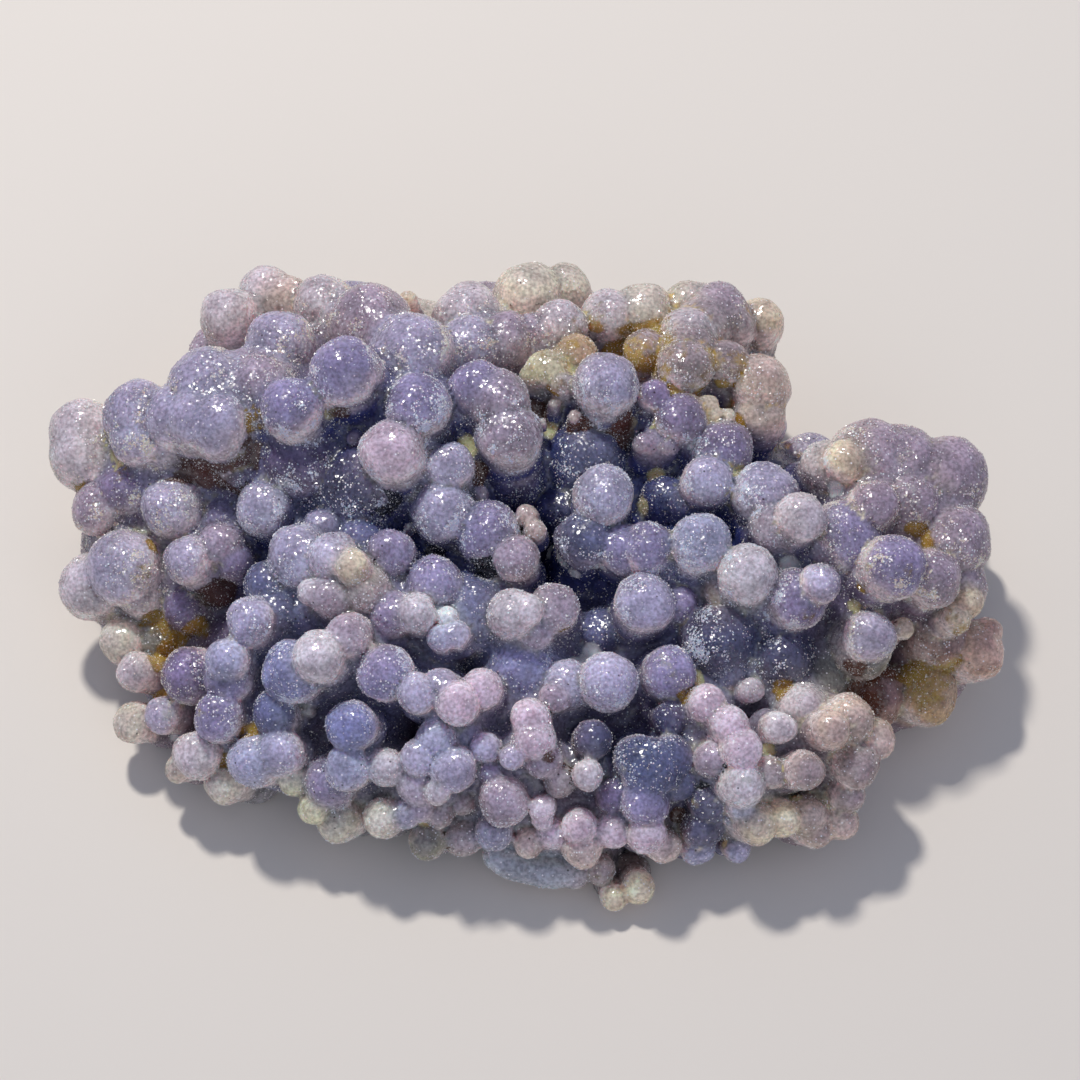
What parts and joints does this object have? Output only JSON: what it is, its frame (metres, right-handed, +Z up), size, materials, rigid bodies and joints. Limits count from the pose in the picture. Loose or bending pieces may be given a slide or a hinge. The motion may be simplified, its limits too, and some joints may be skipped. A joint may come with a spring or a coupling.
{
  "type": "botryoidal chalcedony specimen",
  "caption": "Low mound of violet chalcedony balls grown together, with a high ridge behind, lobes at both sides and a flat cut to rest on.",
  "frame": {"origin": "point on the flat rest face under the middle of the specimen", "axes": "+X to the right along the longest side as the picture shows it, +Y towards the high ridge at the back, +Z up from the rest face"},
  "size_m": [0.0918, 0.0662, 0.0294],
  "materials": {
    "chalcedony": "satin, with fine sparkling crystal druse"
  },
  "bodies": {
    "root": {"chalcedony": "chalcedony"}
  },
  "joints": []
}
